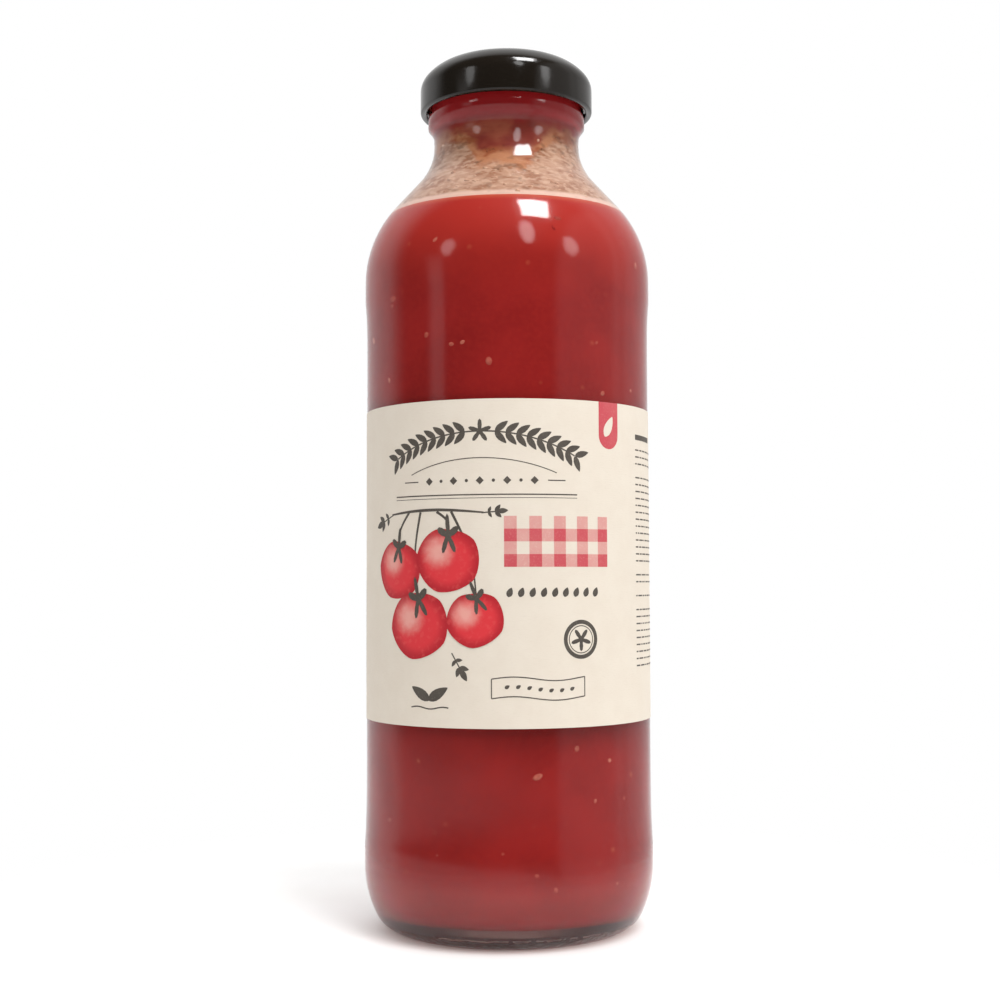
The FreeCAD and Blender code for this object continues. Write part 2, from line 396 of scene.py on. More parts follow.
def clear_glass():
    """Faintly tinted glass with small ripples, stippled under the base, where its tint is painted browner and
    darker as shade. Light that falls on what is behind it passes straight through."""
    material, place = new_material("clear glass")
    ripple = place.grain(14 * mm, 1.0, (1.0, 1.0, 0.5))
    stipple = place.node("TexVoronoi", {}, {"Vector": place, "Scale": 1 / (1.6 * mm)})
    # Under the base the tint is painted browner and darker as shade; the stipple there is real relief.
    under = place.node("SeparateXYZ", {}, {0: place}, "Z").rise(3.9 * mm, 3.0 * mm)
    shader = principled(place, {
        "Base Color": under.blend((0.975, 0.967, 0.957), (0.74, 0.46, 0.38)),
        "Roughness": 0.11,
        "IOR": 1.5,
        "Transmission Weight": 1.0,
        "Normal": (ripple * 0.25 + stipple * under * 0.55).relief(0.4 * mm),
    })
    clear = place.node("BsdfTransparent", {}, {"Color": (0.93, 0.95, 0.94, 1.0)})
    for ray in ("Is Shadow Ray", "Is Diffuse Ray"):
        through = place.node("LightPath", {}, {}, ray)
        shader = place.node("MixShader", {}, {0: through, 1: shader, 2: clear})
    depth = place.node("VolumeAbsorption", {}, {"Color": (0.75, 0.63, 0.61, 1.0), "Density": 90.0})
    finish_with(shader, depth)
    return material


glass = turned("glass_jar_clear", outer_side() + finish_side() + inner_side())
raise_seams(glass)
raise_lugs(glass)
glass.data.materials.append(clear_glass())
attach(glass, "root")
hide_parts("glass_jar")


# Crushed tomatoes: a dense, finely pulpy red sauce that fills the jar to just above the shoulder.
# It wets the glass, so its side reaches just into the wall, and its top creeps up a little all round.
wetting = 0.15 * mm
level = fill_height - 0.7 * mm
sunk = 1.0 * mm


def wall_radius(height):
    """The inside radius of the glass at a height above its heel."""
    heel_top = 16 * mm
    side = [(radius, up) for radius, up in inner_side() if up > heel_top] + [(bore_radius, rim_height)]
    side.sort(key=lambda point: point[1])
    for (near, low), (far, high) in zip(side, side[1:]):
        if low <= height < high:
            return near + (far - near) * (height - low) / (high - low)
    return side[0][0] if height < side[0][1] else bore_radius


def filling_outline():
    """From the middle of the floor up the wetted side, over the crept edge and in across the top."""
    side = [point for point in inner_side(wetting)[::-1] if point[1] < level]
    edge_radius = wall_radius(level) + wetting
    creep = [(edge_radius, level), (edge_radius - 0.5 * mm, level - 0.3 * mm),
             (edge_radius - 1.4 * mm, level - 0.7 * mm)]
    top = [(radius * mm, level - sunk) for radius in range(28, 0, -2)]
    return side + creep + top + [(0, level - sunk)]


def roughen_top(sauce):
    """Soft lumps of pulp on the top, which die out at the wall."""
    smooth_radius, fade, height, lumps_per_metre = 29 * mm, 4 * mm, 0.9 * mm, 160
    for vertex in sauce.data.vertices:
        radius = math.hypot(vertex.co.x, vertex.co.y)
        if vertex.co.z > level - 1.2 * mm and radius < smooth_radius:
            lump = noise.fractal(vertex.co * lumps_per_metre, 1.0, 2.0, 3)
            vertex.co.z += height * lump * min(1.0, (smooth_radius - radius) / fade)


def tomato_sauce():
    """Deep red, mottled by fine pulp, with painted light from above that makes it lighter and more orange up
    the shoulder, and more orange at its top edge.
    """
    material, place = new_material("tomato sauce")
    cloud = place.grain(16 * mm, 3.0).rise(0.35, 0.68)
    pulp = place.grain(1.3 * mm, 4.0).rise(0.4, 0.66)
    fleck = place.node("TexVoronoi", {}, {"Vector": place, "Scale": 190.0}).rise(0.2, 0.05)
    rare = place.grain(9 * mm, 1.0).rise(0.55, 0.66)
    base = cloud.blend((0.305, 0.0095, 0.009), (0.365, 0.0130, 0.0120))
    height = place.node("SeparateXYZ", {}, {0: place}, "Z")
    # Painted light: from 178 mm up the sauce is made lighter and more orange, as if lit from above.
    painted_top_light = (height + cloud * (5 * mm)).rise(178 * mm, 200 * mm)
    base = (painted_top_light * 0.85).blend(base, (0.45, 0.022, 0.013))
    base = (pulp * 0.25).blend(base, (0.44, 0.022, 0.014))
    base = (height.rise(level - 1.6 * mm, level) * 0.6).blend(base, (0.55, 0.11, 0.055))
    base = (fleck * rare * 0.4).blend(base, (0.62, 0.14, 0.07))
    finish_with(principled(place, {"Base Color": base, "Roughness": 0.5, "Specular IOR Level": 0.12}))
    return material


sauce = turned("crushed_tomatoes_filling", filling_outline())
roughen_top(sauce)
sauce.data.materials.append(tomato_sauce())
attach(sauce, "root")
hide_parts("crushed_tomatoes")


# Seeds and shreds of skin: what has settled against the glass out of the crush. The seeds show as
# small paler drops, half sunk in the sauce, and the skin as a few thin flakes.
def scatter(name, model, count, place, seed):
    """Copies of one model, each put against the wall with a turn and a size of its own, joined."""
    chance = random.Random(seed)
    copies = []
    for _ in range(count):
        height, turn, size, sink = place(chance)
        copy = model.copy()
        copy.data = model.data.copy()
        bpy.context.collection.objects.link(copy)
        radius = wall_radius(height) - sink
        spin = Matrix.Rotation(chance.uniform(0, math.tau), 4, "Z")
        stand = Matrix.Rotation(math.radians(90), 4, "Y") @ spin
        size_matrix = Matrix.Diagonal((*[size * chance.uniform(0.85, 1.15) for _ in range(3)], 1))
        put = Matrix.Rotation(turn, 4, "Z") @ Matrix.Translation((radius, 0, height)) @ stand
        copy.data.transform(put @ size_matrix)
        copies.append(copy)
    bpy.data.objects.remove(model)
    bpy.ops.object.select_all(action="DESELECT")
    for copy in copies:
        copy.select_set(True)
    bpy.context.view_layer.objects.active = copies[0]
    bpy.ops.object.join()
    piece = bpy.context.object
    piece.name = piece.data.name = name
    bpy.ops.object.shade_smooth()
    return piece


def seed_model():
    """One flat drop-shaped seed, 3 mm long, lying on its side."""
    bpy.ops.object.select_all(action="DESELECT")
    bpy.ops.mesh.primitive_uv_sphere_add(segments=12, ring_count=7, radius=1 * mm)
    seed = bpy.context.object
    for vertex in seed.data.vertices:
        along = vertex.co.x / mm
        taper = 1.0 - 0.45 * max(0.0, along) ** 1.5
        vertex.co = Vector((vertex.co.x * 1.5, vertex.co.y * 1.05 * taper, vertex.co.z * 0.38 * taper))
    return seed


def seed_place(chance):
    """A height below or above the label, a turn, a size, and how far the copy is sunk in."""
    below_label = chance.random() < 0.5
    height = chance.uniform(16, 58) if below_label else chance.uniform(150, 198)
    turn = chance.uniform(0, math.tau)
    size = chance.uniform(0.65, 1.15)
    return height * mm, turn, size, chance.uniform(0.04, 0.24) * mm


def glass_side(place):
    """0 where a copy dips into the sauce and 1 on the side of it that touches the glass."""
    sheet = place.node("UVMap", {"uv_map": "UVMap"}, {})
    return sheet.node("SeparateXYZ", {}, {0: sheet}, "Y").rise(0.6, 0.84)


def wet_seed():
    """Pale straw-coloured seed coat, stained pink by the juice around it and veiled at its edge."""
    material, place = new_material("wet seed")
    stain = place.grain(1.4 * mm, 2.0).rise(0.3, 0.7)
    patch = place.grain(20 * mm, 1.0).rise(0.35, 0.65)
    base = stain.blend((0.50, 0.10, 0.07), (0.64, 0.20, 0.14))
    base = (patch * 0.8).blend(base, (0.42, 0.035, 0.025))
    base = glass_side(place).blend((0.36, 0.014, 0.012), base)
    finish_with(principled(place, {"Base Color": base, "Roughness": 0.4, "Specular IOR Level": 0.15}))
    return material


def flake_model():
    """A thin flake of skin with a ragged outline, 3.4 mm long."""
    bpy.ops.object.select_all(action="DESELECT")
    bpy.ops.mesh.primitive_uv_sphere_add(segments=16, ring_count=6, radius=1 * mm)
    flake = bpy.context.object
    for vertex in flake.data.vertices:
        turn = math.atan2(vertex.co.y, vertex.co.x)
        ragged = 1.0 + 0.22 * math.sin(3 * turn + 1) + 0.14 * math.sin(7 * turn)
        vertex.co = Vector((vertex.co.x * 1.7 * ragged, vertex.co.y * 0.8 * ragged, vertex.co.z * 0.22))
    return flake


def wet_skin():
    """Skin of a red like the sauce's, paler in patches."""
    material, place = new_material("wet skin")
    tone = place.grain(2 * mm, 2.0).rise(0.3, 0.7).blend((0.26, 0.008, 0.007), (0.44, 0.04, 0.025))
    tone = glass_side(place).blend((0.35, 0.012, 0.011), tone)
    finish_with(principled(place, {"Base Color": tone, "Roughness": 0.4, "Specular IOR Level": 0.15}))
    return material


seeds = scatter("tomato_seeds", seed_model(), 84, seed_place, 11)
seeds.data.materials.append(wet_seed())
flakes = scatter("tomato_skin_flakes", flake_model(), 50, seed_place, 27)
flakes.data.materials.append(wet_skin())
for piece in (seeds, flakes):
    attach(piece, "root")


# Residue in the neck: sauce that splashed up as the jar was handled and dried to a thin skin on the
# glass, dark and clear red near the lid, pale and crumbly just above the filling.
def thicken(sheet, thickness):
    """Gives an open sheet its thickness, behind the side that it shows."""
    solid = sheet.modifiers.new("thickness", "SOLIDIFY")
    solid.thickness = thickness
    solid.offset = -1
    bpy.ops.object.modifier_apply(modifier=solid.name)


def residue_film():
    """A skin over the inside of the neck, set just into the glass as wet sauce is."""
    low, high, rings = level - 1 * mm, rim_height - 1.2 * mm, 72
    set_in, skin = 0.06 * mm, 0.04 * mm
    heights = [low + (high - low) * n / rings for n in range(rings + 1)]
    film = turned("neck_residue", [(wall_radius(up) + set_in, up) for up in heights], 160)
    thicken(film, skin)
    return film


def dried_residue():
    """Downwards: clear red behind the bead, dark red, brown and rust patches with ragged edges, cream
    crumbs with brown flecks, and a pale line just above the filling. It is thin in places."""
    material, place = new_material("dried residue")
    height = place.node("SeparateXYZ", {}, {0: place}, "Z")
    patch = place.grain(13 * mm, 2.0)
    curl = place.grain(5 * mm, 2.0, (1.0, 1.0, 1.5))
    crumb = place.grain(2.3 * mm, 3.0, (1.0, 1.0, 1.9))
    aside = (place.node("SeparateXYZ", {}, {0: place}, "X") - 3 * mm).size().rise(5 * mm, 14 * mm)
    ragged = height + (patch - 0.5) * (14 * mm) + (curl - 0.5) * (8 * mm) - aside * (11 * mm)
    cream = curl.rise(0.38, 0.6).blend((0.355, 0.155, 0.08), (0.525, 0.30, 0.195))
    cream = (crumb.rise(0.46, 0.61) * 0.62).blend(cream, (0.67, 0.445, 0.32))
    stretched = place.node("Mapping", {}, {"Vector": place, "Scale": (1.0, 1.0, 2.4)})
    fleck = stretched.node("TexVoronoi", {}, {"Vector": stretched, "Scale": 1 / (4.2 * mm)}).rise(0.46, 0.14)
    fleck = fleck * place.grain(7 * mm, 1.0).rise(0.45, 0.6) * crumb.rise(0.35, 0.5)
    cream = (fleck * 0.7).blend(cream, (0.24, 0.105, 0.05))
    rust = curl.rise(0.38, 0.6).blend((0.34, 0.088, 0.03), (0.51, 0.215, 0.10))
    brown = patch.rise(0.42, 0.56).blend((0.25, 0.029, 0.016), (0.365, 0.082, 0.041))
    brown = (crumb.rise(0.5, 0.7) * 0.3).blend(brown, (0.22, 0.025, 0.02))
    colour = ragged.rise(213 * mm, 216.5 * mm).blend(cream, rust)
    colour = ragged.rise(218 * mm, 222 * mm).blend(colour, brown)
    colour = (height + (curl - 0.5) * (4 * mm)).rise(229 * mm, 232.5 * mm).blend(colour, (0.34, 0.016, 0.014))
    colour = height.rise(232 * mm, 235 * mm).blend(colour, (0.62, 0.013, 0.018))
    cream_line = height.rise(level + 2.0 * mm, level + 0.9 * mm)
    colour = (cream_line * 0.8).blend(colour, (0.86, 0.62, 0.52))
    gaps = place.grain(3.6 * mm, 3.0, (1.0, 1.0, 1.4)).rise(0.56, 0.68)
    gaps = gaps * ragged.rise(207 * mm, 210 * mm) * ragged.rise(224 * mm, 219 * mm)
    finish_with(principled(place, {
        "Base Color": colour,
        "Roughness": 0.5,
        "Specular IOR Level": 0.2,
        "Alpha": 0.94 - gaps * 0.35,
        "Normal": (curl + crumb * 0.4).relief(0.4 * mm, 0.5),
    }))
    return material


def clot_model():
    """A small irregular crumb of pulp, flat on the side that sticks to the glass."""
    bpy.ops.object.select_all(action="DESELECT")
    bpy.ops.mesh.primitive_ico_sphere_add(subdivisions=2, radius=1 * mm)
    clot = bpy.context.object
    for vertex in clot.data.vertices:
        lump = 1.0 + 0.35 * noise.noise(vertex.co * 1100)
        flat = 0.25 if vertex.co.z > 0 else 0.5
        vertex.co = Vector((vertex.co.x * 1.5, vertex.co.y * 0.8, vertex.co.z * flat)) * lump
    return clot


def clot_place(chance):
    """A height above the filling, most of them close to it, then a turn, a size and how far in."""
    highest, sink = 234 * mm, 0.08 * mm
    height = fill_height + abs(chance.gauss(0, 7)) * mm
    return min(height, highest), chance.uniform(0, math.tau), chance.uniform(0.3, 0.95), sink


def dried_clot():
    """Dried pulp, from brown to cream."""
    material, place = new_material("dried pulp")
    tone = place.grain(2 * mm, 3.0).rise(0.3, 0.7)
    base = tone.blend((0.42, 0.18, 0.09), (0.74, 0.50, 0.36))
    finish_with(principled(place, {"Base Color": base, "Roughness": 0.55, "Specular IOR Level": 0.25}))
    return material


film = residue_film()
film.data.materials.append(dried_residue())
clots = scatter("neck_pulp", clot_model(), 150, clot_place, 31)
clots.data.materials.append(dried_clot())
for piece in (film, clots):
    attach(piece, "root")


# Lid: thin steel pressed to shape, lacquered glossy black. The edge is rolled under, the middle panel
# is sunk, with a shallow button drawn down by the vacuum, and four lugs hold it to the glass.
lid_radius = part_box("lid")[1].x
curl_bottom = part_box("lid")[0].z


def lid_outline():
    """The lid's section from the middle of its top, over the crown and down round the rolled edge."""
    curl, sheet = 0.98 * mm, 0.35 * mm
    corner_height, inner_foot, inner_top = 244.55 * mm, 241 * mm, 249.4 * mm
    corner_round, crown_round, lip_round = 5.5 * mm, 13 * mm, 2 * mm
    corner_turn, lip_turn = math.radians(40), math.radians(70)
    corner = Vector((lid_radius - corner_round, corner_height))
    crown = corner - (crown_round - corner_round) * Vector((math.cos(corner_turn), math.sin(corner_turn)))
    lip = crown + (crown_round - lip_round) * Vector((math.cos(lip_turn), math.sin(lip_turn)))
    top = lip.y + lip_round
    panel, button = top - 0.95 * mm, top - 1.3 * mm
    pressed = [(0, button), (3 * mm, button), (6.2 * mm, button), (7.3 * mm, button + 0.06 * mm),
               (8.4 * mm, panel - 0.06 * mm), (9.5 * mm, panel), (12 * mm, panel), (15 * mm, panel)]
    step = [(15.7 * mm, panel + 0.08 * mm), (16.3 * mm, panel + 0.42 * mm), (16.9 * mm, top - 0.12 * mm)]
    over = bow(lip, lip_round, 96, 70, 5) + bow(crown, crown_round, 70, 40, 8)[1:]
    over += bow(corner, corner_round, 40, 0, 8)[1:]
    curl_centre = (lid_radius - curl, curl_bottom + curl)
    rolled = bow(curl_centre, curl, 0, -290, 18)
    within = [(lid_radius - sheet, inner_foot), (lid_radius - sheet, corner_height)]
    within += bow(corner, corner_round - sheet, 0, 40, 6)[1:] + bow(crown, crown_round - sheet, 40, 49, 2)[1:]
    seat = [(18 * mm, inner_top), (17 * mm, panel - sheet), (0, panel - sheet)]
    return pressed + step + over + rolled + within + seat


def add_lid_lugs(shell):
    """Four tongues bent in from the rolled edge, which catch under the lugs of the glass."""
    bpy.ops.object.select_all(action="DESELECT")
    bpy.ops.mesh.primitive_cube_add(size=1)
    lug = bpy.context.object
    bpy.ops.object.mode_set(mode="EDIT")
    bpy.ops.mesh.subdivide(number_cuts=5)
    bpy.ops.object.mode_set(mode="OBJECT")
    span, middle_radius, depth, thick, clearance = 22, 23.75, 1.7, 1.7, 0.95
    for vertex in lug.data.vertices:
        turn, radius = math.radians(span * vertex.co.y), (middle_radius + depth * vertex.co.x) * mm
        height = lug_height - lug_rib - (clearance - thick * vertex.co.z) * mm
        vertex.co = (radius * math.cos(turn), radius * math.sin(turn), height)
    soften = lug.modifiers.new("edges", "BEVEL")
    soften.width = 0.3 * mm
    soften.segments = 2
    bpy.ops.object.modifier_apply(modifier=soften.name)
    for n in range(1, 4):
        copy = lug.copy()
        copy.data = lug.data.copy()
        copy.data.transform(Matrix.Rotation(math.radians(90 * n), 4, "Z"))
        bpy.context.collection.objects.link(copy)
        copy.select_set(True)
    shell.select_set(True)
    bpy.context.view_layer.objects.active = shell
    bpy.ops.object.join()


def black_lacquer():
    """Black lacquer with a slight orange-peel, handling dust and faint rub marks on its edges."""
    material, place = new_material("black lacquer")
    dust = place.grain(0.5 * mm, 3.0).rise(0.56, 0.75)
    smudge = place.grain(9 * mm, 3.0).rise(0.4, 0.7)
    rub = place.grain(1.2 * mm, 2.0, (1.0, 1.0, 6.0)).rise(0.6, 0.72)
    height = place.node("SeparateXYZ", {}, {0: place}, "Z")
    low_edge = height.rise(curl_bottom + 1.6 * mm, curl_bottom + 0.4 * mm)
    base = (dust * 0.15).blend((0.0088, 0.0060, 0.0036), (0.034, 0.029, 0.023))
    base = (rub * low_edge * 0.2).blend(base, (0.10, 0.09, 0.08))
    finish_with(principled(place, {
        "Base Color": base,
        "Roughness": 0.13 + smudge * 0.06 + dust * 0.05,
        "Normal": place.grain(1.1 * mm, 1.0).relief(0.02 * mm, 0.5),
    }))
    return material


lid = turned("lid_shell", lid_outline())
add_lid_lugs(lid)
bpy.ops.object.shade_smooth_by_angle(angle=math.radians(40))
lid.data.materials.append(black_lacquer())
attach(lid, "root")
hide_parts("lid")


# Label: one strip of uncoated cream paper, 0.15 mm thick, wet-glued round the recessed panel.
# Its two ends leave a narrow gap at the back, where the sauce shows.
label_low, label_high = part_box("label")
label_bottom = label_low.z
label_height = label_high.z - label_low.z
paper = 0.15 * mm
paper_radius = panel_radius + paper
label_span = math.radians(348)
label_length = label_span * paper_radius


def wrap(piece):
    """Bends flat work round the jar: x runs along the strip from its middle, y up it, z off it."""
    for vertex in piece.data.vertices:
        turn, reach = vertex.co.x / paper_radius, paper_radius + vertex.co.z
        vertex.co = (reach * math.sin(turn), -reach * math.cos(turn), label_bottom + vertex.co.y)


def cream_paper():
    """Cream paper with a soft cloudiness and short fibres that run along the strip."""
    material, place = new_material("cream paper")
    sheet = place.node("UVMap", {"uv_map": "sheet"}, {})
    cloud = sheet.grain(7 * mm, 3.0).rise(0.3, 0.7)
    fibre = sheet.grain(0.35 * mm, 3.0, (0.25, 1.0, 1.0)).rise(0.45, 0.75)
    base = cloud.blend((0.81, 0.72, 0.61), (0.83, 0.745, 0.635))
    base = (fibre * 0.12).blend(base, (0.70, 0.62, 0.50))
    finish_with(principled(place, {
        "Base Color": base,
        "Roughness": 0.62 + fibre * 0.1,
        "Specular IOR Level": 0.3,
        "Normal": (fibre + cloud * 0.5).relief(0.03 * mm, 0.5),
    }))
    return material


def add_label():
    """A flat strip with its own map, wrapped round the panel and then given its thickness."""
    bpy.ops.object.select_all(action="DESELECT")
    bpy.ops.mesh.primitive_grid_add(x_subdivisions=174, y_subdivisions=12, size=1)
    label = bpy.context.object
    label.name = "label_strip"
    bpy.ops.object.mode_set(mode="EDIT")
    bpy.ops.mesh.select_all(action="SELECT")
    bpy.ops.transform.resize(value=(label_length, label_height, 1))
    bpy.ops.transform.translate(value=(0, label_height / 2, 0))
    bpy.ops.object.mode_set(mode="OBJECT")
    sheet = label.data.uv_layers.active
    sheet.name = "sheet"
    for corner in label.data.loops:
        sheet.data[corner.index].uv = label.data.vertices[corner.vertex_index].co.xy
    wrap(label)
    thicken(label, paper)
    bpy.ops.object.shade_smooth_by_angle(angle=math.radians(40))
    label.data.materials.append(cream_paper())
    return label


label = add_label()
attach(label, "root")
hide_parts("label")


# Print: inks pressed on the paper, pale coral, coral, red, dark and the cream of a leaf, each a skin
# about a hundredth of a millimetre thick. The design is a plain kitchen one, with rows of dashes
# where a label has its small print.
ink_film = 0.015 * mm


def cut_out(at, size, turn=0.0, rim=None, sides=24, lift=0.0):
    """A flat shape, placed and sized in mm on the strip: a disc, or what a rule makes of its rim."""
    bpy.ops.object.select_all(action="DESELECT")
    bpy.ops.mesh.primitive_circle_add(vertices=sides, radius=1, fill_type="NGON")
    shape = bpy.context.object
    for vertex in shape.data.vertices:
        if rim:
            vertex.co.xy = rim(math.atan2(vertex.co.y, vertex.co.x))
    spread = Matrix.Diagonal((size[0] / 2 * mm, size[1] / 2 * mm, 1, 1))
    put = Matrix.Translation((at[0] * mm, at[1] * mm, lift * mm))
    shape.data.transform(put @ Matrix.Rotation(math.radians(turn), 4, "Z") @ spread)
    return shape


def stroke(path, width, steps=1, lift=0.0):
    """A drawn line that follows a path from 0 to 1; its width in mm is a number or a rule."""
    bpy.ops.object.select_all(action="DESELECT")
    bpy.ops.mesh.primitive_grid_add(x_subdivisions=steps, y_subdivisions=1, size=1)
    line = bpy.context.object
    for vertex in line.data.vertices:
        along = vertex.co.x + 0.5
        here, ahead = Vector(path(along)), Vector(path(along + 0.001))
        across = (ahead - here).orthogonal().normalized()
        breadth = width(along) if callable(width) else width
        vertex.co = (*((here + across * vertex.co.y * breadth) * mm), lift * mm)
    return line


def rule(start, end, width, lift=0.0):
    """A straight line."""
    return stroke(lambda along: Vector(start).lerp(Vector(end), along), width, 1, lift)


def print_ink(name, shapes, ink, height):
    """Joins the shapes of one ink, cuts them so that they bend, and lays them on the paper."""
    bpy.ops.object.select_all(action="DESELECT")
    for shape in shapes:
        shape.select_set(True)
    bpy.context.view_layer.objects.active = shapes[0]
    bpy.ops.object.join()
    piece = bpy.context.object
    piece.name = piece.data.name = name
    bpy.ops.object.mode_set(mode="EDIT")
    bpy.ops.mesh.select_all(action="SELECT")
    bpy.ops.mesh.normals_make_consistent(inside=False)
    bpy.ops.mesh.quads_convert_to_tris(ngon_method="BEAUTY")
    bend = 2 * mm
    first = math.ceil(min(vertex.co.x for vertex in piece.data.vertices) / bend)
    last = math.floor(max(vertex.co.x for vertex in piece.data.vertices) / bend)
    for n in range(first, last + 1):
        bpy.ops.mesh.select_all(action="SELECT")
        bpy.ops.mesh.bisect(plane_co=(n * bend, 0, 0), plane_no=(1, 0, 0))
    bpy.ops.object.mode_set(mode="OBJECT")
    if piece.data.polygons[0].normal.z < 0:
        piece.data.flip_normals()
    for vertex in piece.data.vertices:
        vertex.co.z += height
    wrap(piece)
    thicken(piece, ink_film)
    bpy.ops.object.shade_smooth_by_angle(angle=math.radians(40))
    piece.data.materials.append(ink)
    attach(piece, "root")


def printed(name, colour, worn):
    """Flat ink, cloudy, and paler in specks where it is thin on the paper's grain."""
    material, place = new_material(name)
    thin = place.grain(0.5 * mm, 3.0).rise(0.5, 0.8)
    cloud = place.grain(5 * mm, 2.0).rise(0.35, 0.7)
    base = (thin * 0.35 + cloud * 0.12).blend(colour, worn)
    finish_with(principled(place, {"Base Color": base, "Roughness": 0.55, "Specular IOR Level": 0.3}))
    return material


def ripe_red():
    """Red with a pale pink shine at the upper left of each tomato and a darker edge all round."""
    material, place = new_material("ripe red ink")
    disc = place.node("UVMap", {"uv_map": "UVMap"}, {})
    shine = disc.node("VectorMath", {"operation": "DISTANCE"}, {0: disc, 1: (0.36, 0.64, 0.0)}, "Value")
    edge = disc.node("VectorMath", {"operation": "DISTANCE"}, {0: disc, 1: (0.5, 0.5, 0.0)}, "Value")
    wash = place.grain(1.6 * mm, 4.0)
    glow = (shine + (wash - 0.5) * 0.16).rise(0.34, 0.04)
    base = edge.rise(0.3, 0.5).blend((0.74, 0.040, 0.050), (0.48, 0.018, 0.028))
    base = (wash.rise(0.5, 0.72) * 0.35).blend(base, (0.78, 0.11, 0.10))
    base = (glow * 0.9).blend(base, (0.86, 0.42, 0.36))
    finish_with(principled(place, {"Base Color": base, "Roughness": 0.5, "Specular IOR Level": 0.3}))
    return material


def leaf_rim(angle):
    """A leaf with two points, broader towards its foot."""
    swell = math.sin(angle) * abs(math.sin(angle)) ** 0.5
    return math.cos(angle), swell * (1 - 0.3 * math.cos(angle))


def star_rim(angle):
    """A star of five narrow petals."""
    reach = 0.26 + 0.74 * abs(math.cos(2.5 * angle)) ** 2.4
    return reach * math.cos(angle), reach * math.sin(angle)


def tomato_rim(angle):
    """A round fruit with five faint lobes and a dent at the top."""
    reach = 1 - 0.05 * abs(math.cos(2.5 * angle)) - 0.06 * max(0.0, math.sin(angle)) ** 8
    return reach * math.cos(angle), reach * math.sin(angle)


def arch(radius, middle_height, half_span):
    """A path bowed upward over the middle of the label, by its half width in degrees."""
    def path(along):
        turn = math.radians((along * 2 - 1) * half_span)
        return radius * math.sin(turn), middle_height - radius * (1 - math.cos(turn))
    return path


def sprig():
    """The leafy sprig that arches over the front, with its flower and the line under it."""
    bend, half_span, leaves, leaf_lean = 56, 28, 9, 42
    stem = arch(bend, 79.5, half_span)
    shapes = [stroke(stem, 0.4, 40), stroke(arch(bend, 72.3, 22), 0.25, 30)]
    for side in (-1, 1):
        for n in range(leaves):
            along = 0.5 + side * (0.075 + 0.425 * n / (leaves - 1))
            (x, y), lean = stem(along), -(along * 2 - 1) * half_span
            for above in (-1, 1):
                turn = math.radians(lean + (side < 0) * 180 + above * side * leaf_lean)
                reach = Vector((math.cos(turn), math.sin(turn))) * 2.3
                middle = (x + reach.x, y + reach.y)
                shapes.append(cut_out(middle, (4.4, 1.75), math.degrees(turn), leaf_rim, 14))
    shapes.append(cut_out(stem(0.5), (6.6, 6.6), 90, star_rim, 40))
    return shapes


def small_ornaments():
    """Lozenges and dots between short lines, a double rule, a row of seeds, a wavy ribbon with more
    of them, and two leaves over a wavy line."""
    shapes = [rule((-27, 62.4), (27, 62.4), 0.35), rule((-27, 61.5), (27, 61.5), 0.16)]
    shapes += [rule((side * 18.5, 66.2), (side * 23.5, 66.2), 0.3) for side in (-1, 1)]
    for n in range(-4, 5):
        size = (2.2, 2.2) if n % 2 == 0 else (0.9, 0.9)
        shapes.append(cut_out((n * 3.7, 66.2), size, 0, None, 4 if n % 2 == 0 else 12))
    for n in range(9):
        shapes.append(cut_out((8.0 + n * 3.1, 36.2), (2.7, 1.7), 70, leaf_rim, 14))
    left, width, low_edge, high_edge = 3.0, 26, 8.0, 13.2

    def wave(along):
        return 0.55 * math.sin(along * 2.2 * math.pi)
    for edge in (low_edge, high_edge):
        shapes.append(stroke(lambda along, edge=edge: (left + along * width, edge + wave(along)), 0.3, 30))
    for x, lift in ((left, 0.0), (left + width, 0.35)):
        shapes.append(rule((x, low_edge + lift), (x, high_edge + lift), 0.3))
    for n in range(7):
        x = 7.2 + n * 3.0
        shapes.append(cut_out((x, 10.6 + wave((x - left) / width)), (1.5, 1.0), 30, leaf_rim, 10))
    for turn in (150, 30):
        foot = (-15 + 3.2 * math.cos(math.radians(turn)), 9.0)
        shapes.append(cut_out(foot, (7.0, 2.8), turn, leaf_rim, 18))
    shapes.append(stroke(lambda along: (-21 + along * 12, 5.2 + 0.3 * math.sin(along * 9)), 0.35, 16))
    return shapes


def round_stamp():
    """A broad ring and a fine one with a small flower in them."""
    middle = (28, 23.5)

    def circle(radius):
        return lambda along: bow(middle, radius, 0, 360 * along, 1)[1]
    petals = [cut_out(middle, (6.4, 6.4), 54, star_rim, 40)]
    return [stroke(circle(4.7), 1.1, 48), stroke(circle(3.65), 0.25, 40)] + petals


# Each tomato of the truss: its middle on the strip and its width, in mm.
truss = [((-26.5, 42.5), 18.0), ((-9.5, 45.0), 19.5), ((-19.0, 27.5), 20.5), ((-1.5, 29.0), 16.5)]


def tomatoes():
    """The tomatoes of the truss, each lying a little over the one before it."""
    return [cut_out(at, (size, size * 0.93), -8 + 7 * n, tomato_rim, 48, 0.012 * n)
            for n, (at, size) in enumerate(truss)]


def foliage(at, turn, size):
    """A leaf of five leaflets on a short rib."""
    way = Vector((math.cos(math.radians(turn)), math.sin(math.radians(turn))))
    foot = Vector(at)
    shapes = [stroke(lambda along: foot + way * size * along, 0.35, 4)]
    leaflets = ((1.25, 0, 0.62), (0.8, 48, 0.5), (0.8, -48, 0.5), (0.4, 62, 0.36), (0.4, -62, 0.36))
    for along, lean, length in leaflets:
        heading = math.radians(turn + lean)
        out = Vector((math.cos(heading), math.sin(heading))) * length * size * (0.5 if lean else 0.0)
        place = foot + way * size * along + out
        shapes.append(cut_out(place, (length * size, length * size * 0.5), turn + lean, leaf_rim, 16))
    return shapes


